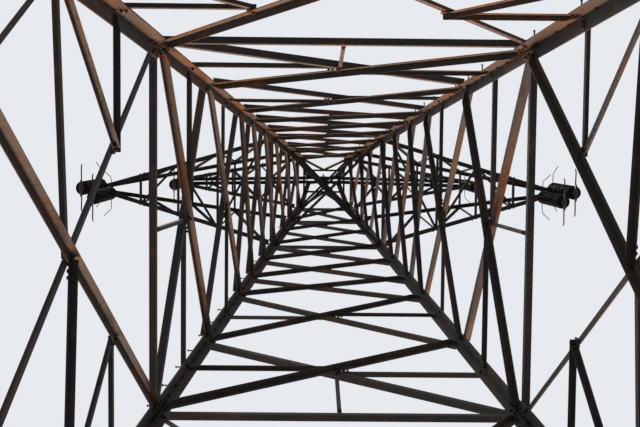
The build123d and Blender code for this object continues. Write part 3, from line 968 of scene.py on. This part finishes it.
class PYLON_OT_arm_bolts(PylonOperator):
    """Bolts of the crossarms: lugs, chord joints and tip plates, one piece for each arm."""
    bl_idname = "pylon.arm_bolts"
    bl_label = "Arm bolts"

    def execute(self, context):
        head, nut = head_template(0.028, 0.013), nut_template(0.028, 0.014)
        for level, name, side in ARMS:
            dice = random.Random(level + name)
            stamps = []
            for point, out, grip in arm_spots(level, side):
                spin = chance_turn(dice)
                stamps.append((head, standing(point, out, spin)))
                stamps.append((nut, standing(point - out * grip, -out, spin)))
            finish_piece(stamped("bolts_" + level + "_arm_" + name, stamps), "bolt_finish", "arm_steel")
        return {"FINISHED"}


# Outlines of an insulator as (radius, height), from the axis over the top to the axis below

SHED_NECK, SHED_RIM = 0.05, 0.127
SHED = ((0, -0.050), (0.047, -0.050), (0.053, -0.055), (0.070, -0.060), (0.092, -0.069), (0.110, -0.081),
        (0.121, -0.092), (0.127, -0.101), (0.126, -0.107), (0.121, -0.109), (0.112, -0.101), (0.106, -0.093),
        (0.101, -0.093), (0.098, -0.113), (0.093, -0.115), (0.089, -0.092), (0.080, -0.090), (0.076, -0.111),
        (0.071, -0.112), (0.067, -0.089), (0.058, -0.088), (0.054, -0.108), (0.049, -0.108), (0.044, -0.093),
        (0.022, -0.096), (0, -0.097))
CAP = ((0, -0.003), (0.020, -0.003), (0.033, -0.008), (0.039, -0.018), (0.041, -0.034), (0.048, -0.045),
       (0.052, -0.051), (0.052, -0.059), (0, -0.059))
PIN = ((0, -0.090), (0.014, -0.090), (0.011, -0.100), (0.011, -0.136), (0.017, -0.140), (0.017, -0.149),
       (0, -0.149))
TIP_HOLE_IN, TIP_HOLE_DROP, TIP_RISE = 0.075, 0.02, 0.15


def string_tops(level, side):
    """Tops of the strings of an arm."""
    tip, tip_z = ARM_TIPS[level]
    x, z = tip - TIP_HOLE_IN, tip_z - TIP_HOLE_DROP - TIP_RISE
    if level == "upper":
        return [(side * x, 0.0, z)]
    return [(side * (x - 0.105), 0.082, z), (side * (x + 0.112), -0.102, z)]


class PYLON_OT_insulators(PylonOperator):
    """Cap and pin insulator discs with ribbed undersides, in place of the plain strings."""
    bl_idname = "pylon.insulators"
    bl_label = "Insulator discs"

    def execute(self, context):
        s = sizes()
        wide = s.disc_radius / SHED_RIM
        shed = [(r if r < SHED_NECK else r * wide, z) for r, z in SHED]
        disc = keep_mesh(turned("disc", shed, 28))
        cap = keep_mesh(turned("cap", CAP, 16))
        pin = keep_mesh(turned("pin", PIN, 12))
        for level, name, side in ARMS:
            arm = level + "_" + name
            discs, caps = [], []
            for x, y, z in string_tops(level, side):
                for n in range(s.disc_count):
                    place = Matrix.Translation((x, y, z - n * s.disc_pitch))
                    discs.append((disc, place))
                    caps += [(cap, place), (pin, place)]
            for kind, stamps, finish, slot in (("discs_", discs, "porcelain_finish", "porcelain"),
                                               ("disc_caps_", caps, "cap_finish", "fitting_steel")):
                finish_piece(stamped(kind + arm, stamps), finish, slot, "insulators_" + arm, smooth=38)
        return {"FINISHED"}


# Parts of the string fittings, each made round the point that it hangs from

LINK_FOOT = {"lower": -0.100, "upper": -0.130}
HORN_LONG, HORN_SHORT, HORN_SHORT_FROM = 0.155, 0.100, 4.8
HORN_ROOT = ((0, 0, 0.022), (0.002, 0.120, 0.026), (0.004, 0.240, 0.024), (0.006, 0.315, 0.018),
             (0.014, 0.345, 0.012), (0.034, 0.370, 0.004))
LOWER_HORN = ((0.465, -0.020), (0.452, -0.066), (0.390, -0.088), (0.200, -0.064))


def shackle(link_foot):
    """Tip link, shackle with its pin, and the rod below it."""
    return [block((-0.006, -0.030, -0.055), (0.006, 0.030, 0.004), 0.003),
            bar((-0.028, 0, -0.032), (0.028, 0, -0.032), 0.009, 10, 0.002),
            bent_rod(u_path([(0.019, -0.028), (0.020, -0.060), (0.014, -0.082)]), 0.008),
            bar((0, 0, -0.084), (0, 0, link_foot), 0.011, 12, 0.002),
            bar((0, 0, -0.074), (0, 0, -0.098), 0.019, 12, 0.004)]


def yoke(ends):
    """Plate that carries two strings, with the nuts on its middle and over each string."""
    run = Vector(ends[1]) - Vector(ends[0])
    reach = run.length / 2 + 0.045
    plate = block((-reach, -0.033, 0.040), (reach, 0.033, 0.054), 0.003)
    plate.data.transform(Matrix.Rotation(math.atan2(run.y, run.x), 4, "Z"))
    nuts = [bar((x, y, 0.052), (x, y, 0.070), 0.020, 6, 0.004) for x, y, _ in ends]
    return [plate, bar((0, 0, 0.052), (0, 0, 0.072), 0.024, 6, 0.004), *nuts]


def socket_and_horns(side, far):
    """Socket over the first cap, its pin, and the arcing horns, bent out at their ends."""
    tip = ((far * 0.6, 0.424, -0.014), (far, 0.490, -0.034))
    parts = [bar((0, 0, 0.044), (0, 0, -0.004), 0.021, 14, 0.005),
             bar((-0.034, 0, 0.022), (0.034, 0, 0.022), 0.008, 10, 0.002)]
    for sy in (-1, 1):
        path = [(side * out, sy * y, z) for out, y, z in (*HORN_ROOT, *tip)]
        parts.append(bent_rod(path, sizes().horn_radius, 5, 3))
    return parts


def clamp_body():
    """Boat-shaped body of a suspension clamp along Y, its mouth ends flared and turned up."""
    body = block((-0.026, -0.085, -0.030), (0.026, 0.085, 0.016), 0.006, 2)
    for sy in (-1, 1):
        for reach, widen, lift in ((0.045, 0.86, 0.004), (0.030, 0.80, 0.009), (0.012, 0.9, 0.010)):
            pick_faces(body, lambda normal: normal.y * sy > 0.9)
            bpy.ops.mesh.extrude_region_move(TRANSFORM_OT_translate={"value": (0, sy * reach, lift)})
            bpy.ops.transform.resize(value=(widen, 1, 0.78), center_override=(0, 0, -0.004))
            object_mode()
    return body


def clamp(head):
    """Eye, straps and their bolts, clamp body with its keeper and U-bolts, and the lower horn."""
    parts = [bar((0, 0, 0.004), (0, 0, -0.052), 0.017, 12, 0.004),
             bar((-0.045, 0, -0.046), (0.045, 0, -0.046), 0.008, 10, 0.002),
             bar((-0.045, 0, -0.112), (0.045, 0, -0.112), 0.009, 10, 0.002),
             block((-0.020, -0.060, -0.092), (0.020, 0.060, -0.078), 0.003),
             *moved([clamp_body()], (0, 0, -0.108))]
    for x in (-0.030, 0.030):
        parts.append(block((x - 0.004, -0.024, -0.125), (x + 0.004, 0.024, -0.034), 0.002))
    for y in (-0.042, 0.042):
        parts.append(bent_rod(u_path([(0.030, -0.070), (0.030, -0.130), (0.018, -0.143)], y), 0.005, 3, 2))
        nuts = [(head, Matrix.Translation((x, y, -0.082))) for x in (-0.030, 0.030)]
        parts.append(stamped("keeper_nuts", nuts))
    near = [(0, -y, z) for y, z in LOWER_HORN]
    far = [(0, y, z) for y, z in reversed(LOWER_HORN)]
    parts.append(bent_rod([*near, (0, 0, -0.060), *far], sizes().horn_radius * 1.6, 5, 3))
    return parts


class PYLON_OT_fittings(PylonOperator):
    """Shackles, yokes, sockets, arcing horns and suspension clamps of the strings, one piece for each arm."""
    bl_idname = "pylon.fittings"
    bl_label = "String fittings"

    def execute(self, context):
        string_len = sizes().disc_pitch * sizes().disc_count
        head = head_template(0.024, 0.011)
        for level, name, side in ARMS:
            tops = string_tops(level, side)
            middle = sum(top[0] for top in tops) / len(tops)
            z_top = tops[0][2]
            parts = moved(shackle(LINK_FOOT[level]), (middle, 0, z_top + TIP_RISE))
            if level == "lower":
                parts += moved(yoke([(x - middle, y, 0) for x, y, _ in tops]), (middle, 0, z_top))
            for x, y, z in tops:
                far = HORN_SHORT if abs(x) > HORN_SHORT_FROM else HORN_LONG
                parts += moved(socket_and_horns(side, far), (x, y, z))
                parts += moved(clamp(head), (x, y, z - string_len))
            node = "fittings_" + level + "_" + name
            piece = joined("string_" + node, parts)
            finish_piece(piece, "forging_finish", "fitting_steel", node, smooth=32)
        return {"FINISHED"}


def ridge_spots():
    """Bolts of the ridge, its leg caps and the clamp on top as (kind, point, direction)."""
    ridge_half = RIDGE_SHARE * half(H_TOP)
    w = half(H_TOP + 0.06)
    z = H_RIDGE - 0.065
    spots = []
    for sx in (-1, 1):
        for sy in (-1, 1):
            for dx, dy in ((0.040, 0.110), (0.110, 0.040)):
                spots.append(("nut", (sx * (w - dx), sy * (w - dy), H_TOP + 0.072), (0, 0, 1)))
            for dz in (-0.070, -0.025):
                end = (sx * (ridge_half + 0.010), sy * (ARM_TIP_HALF + 0.018), H_RIDGE + dz)
                spots.append(("head", end, (sx, 0, 0)))
            for n in range(3):
                x = sx * (ridge_half - 0.060 - n * 0.060)
                spots.append(("head", (x, sy * ARM_TIP_HALF, z), (0, sy, 0)))
                spots.append(("nut", (x, sy * (ARM_TIP_HALF - 0.008), z), (0, -sy, 0)))
            spots.append(("nut", (sx * 0.058, sy * 0.058, H_RIDGE + 0.004), (0, 0, 1)))
    for side in (-1, 1):
        spots.append(("nut", (side * 0.045, 0, H_RIDGE + 0.152), (side, 0, 0)))
    return spots


class PYLON_OT_ridge_bolts(PylonOperator):
    """Bolts of the ridge, its leg caps and the clamp on top of it."""
    bl_idname = "pylon.ridge_bolts"
    bl_label = "Ridge bolts"

    def execute(self, context):
        templates = {"head": head_template(0.030, 0.014), "nut": nut_template(0.030, 0.015)}
        dice = random.Random(12)
        stamps = [(templates[kind], standing(point, out, chance_turn(dice)))
                  for kind, point, out in ridge_spots()]
        finish_piece(stamped("ridge_bolts", stamps), "bolt_finish", "arm_steel")
        return {"FINISHED"}


FLOOR_SHADE, FLOOR_GLOW = 0.45, 0.36
FILL_TINT, FILL_STRENGTH = (0.80, 0.88, 1.0), 0.13
SUN_SPREAD = 22
LAMPS = (
    ("key_lamp", (-3.0, 46.0, 19.0), (0, -2.0, 14.0), 4.9, (1.0, 0.88, 0.76)),
    ("front_lamp", (-12.0, -9.0, 60.0), (0, 0, 14.0), 1.5, (1.0, 0.98, 0.95)),
)
CAMERA_PLACE = (-0.380, -1.037, 1.051)
CAMERA_TURNS = ((0.5756, "Z"), (3.7875, "X"), (-0.5644, "Y"))
FOCAL_PIXELS, PICTURE_PIXELS, SENSOR_MM = 1063.6, 640, 36


def studio_floor():
    """Floor that shows its own colour to the camera, throws little light up and keeps the shadow."""
    floor_colour = colours().floor
    deselect()
    bpy.ops.mesh.primitive_plane_add(size=sizes().floor_side, location=(0, 0, -0.002))
    floor = bpy.context.object
    floor.name = "studio_floor"
    apply_place(floor)
    r = Recipe("floor_finish")
    mottled = r.noise(r.mapped(), 0.6, 4.0)
    shown = r.blend(r.spread(mottled, 0.3, 0.7), floor_colour, shade(floor_colour, 0.96))
    seen = r.node("LightPath").outputs["Is Camera Ray"]
    r.give("Base Color", r.blend(seen, shade(floor_colour, FLOOR_SHADE), shown))
    r.give("Roughness", 0.9)
    r.give("Specular IOR Level", 0.0)
    r.give("Emission Color", (*floor_colour, 1.0))
    r.give("Emission Strength", r.maths("MULTIPLY", seen, FLOOR_GLOW))
    floor.data.materials.append(r.material)


def studio_world(scene):
    """Pale backdrop for camera, glossy and transmission rays, and a faint cool fill for the rest."""
    scene.world = bpy.data.worlds.new("studio_world")
    scene.world.use_nodes = True
    tree = scene.world.node_tree
    tree.nodes.clear()
    out, mix, path, seen, fill, first, second = (
        tree.nodes.new("ShaderNode" + kind)
        for kind in ("OutputWorld", "MixShader", "LightPath", "Background", "Background", "Math", "Math"))
    for light, colour, strength in ((seen, colours().sky, 1.0), (fill, FILL_TINT, FILL_STRENGTH)):
        light.inputs["Color"].default_value = (*colour, 1)
        light.inputs["Strength"].default_value = strength
    first.operation = "ADD"
    second.operation = "ADD"
    second.use_clamp = True
    for source, target in ((path.outputs["Is Camera Ray"], first.inputs[0]),
                           (path.outputs["Is Glossy Ray"], first.inputs[1]),
                           (first.outputs[0], second.inputs[0]),
                           (path.outputs["Is Transmission Ray"], second.inputs[1]),
                           (second.outputs[0], mix.inputs["Fac"]),
                           (fill.outputs[0], mix.inputs[1]),
                           (seen.outputs[0], mix.inputs[2]),
                           (mix.outputs[0], out.inputs["Surface"])):
        tree.links.new(source, target)


def studio_lamps(scene):
    for name, place, aim, power, tint in LAMPS:
        lamp = bpy.data.lights.new(name, "SUN")
        lamp.angle = math.radians(SUN_SPREAD)
        lamp.energy = power
        lamp.color = tint
        holder = bpy.data.objects.new(name, lamp)
        scene.collection.objects.link(holder)
        tilt = (Vector(aim) - Vector(place)).to_track_quat("-Z", "Y").to_matrix().to_4x4()
        holder.matrix_world = Matrix.Translation(place) @ tilt


def studio_camera(scene):
    """Camera inside the base, looking almost straight up."""
    turn = Matrix.Identity(3)
    for angle, axis in CAMERA_TURNS:
        turn = turn @ Matrix.Rotation(math.radians(angle), 3, axis)
    across, down, ahead = turn
    lens = bpy.data.cameras.new("camera")
    lens.lens = FOCAL_PIXELS / PICTURE_PIXELS * SENSOR_MM
    lens.sensor_width = SENSOR_MM
    lens.clip_end = 500
    camera = bpy.data.objects.new("camera", lens)
    scene.collection.objects.link(camera)
    camera.matrix_world = Matrix.Translation(CAMERA_PLACE) @ to_axes(across, -down, -ahead)
    scene.camera = camera


class PYLON_OT_stage(PylonOperator):
    """Floor, backdrop, lamps and the camera under the tower."""
    bl_idname = "pylon.stage"
    bl_label = "Stage"

    def execute(self, context):
        studio_floor()
        studio_world(context.scene)
        studio_lamps(context.scene)
        studio_camera(context.scene)
        context.scene.view_settings.view_transform = "Standard"
        return {"FINISHED"}


OPERATORS = (PYLON_OT_steel_finish, PYLON_OT_joint_bolts, PYLON_OT_coped_flanges, PYLON_OT_leg_splices,
             PYLON_OT_step_nuts, PYLON_OT_feet, PYLON_OT_arm_bolts, PYLON_OT_insulators, PYLON_OT_fittings,
             PYLON_OT_ridge_bolts, PYLON_OT_stage)
STEPS = [operator.bl_idname for operator in OPERATORS]


class PYLON_PT_panel(bpy.types.Panel):
    """Lists the steps that finish the pylon."""
    bl_idname = "PYLON_PT_panel"
    bl_label = "Pylon"
    bl_space_type = "VIEW_3D"
    bl_region_type = "UI"
    bl_category = "Pylon"

    def draw(self, context):
        for group in (context.scene.pylon_sizes, context.scene.pylon_colours):
            column = self.layout.column()
            for key in group.__annotations__:
                column.prop(group, key)
        column = self.layout.column()
        for step in STEPS:
            column.operator(step)


CLASSES = (PylonSizes, PylonColours, *OPERATORS, PYLON_PT_panel)


def register():
    for entry in CLASSES:
        bpy.utils.register_class(entry)
    bpy.types.Scene.pylon_sizes = PointerProperty(type=PylonSizes)
    bpy.types.Scene.pylon_colours = PointerProperty(type=PylonColours)


def unregister():
    del bpy.types.Scene.pylon_colours
    del bpy.types.Scene.pylon_sizes
    for entry in reversed(CLASSES):
        bpy.utils.unregister_class(entry)


def main():
    register()
    for step in STEPS:
        group, name = step.split(".")
        getattr(getattr(bpy.ops, group), name)()


if __name__ == "__main__":
    main()
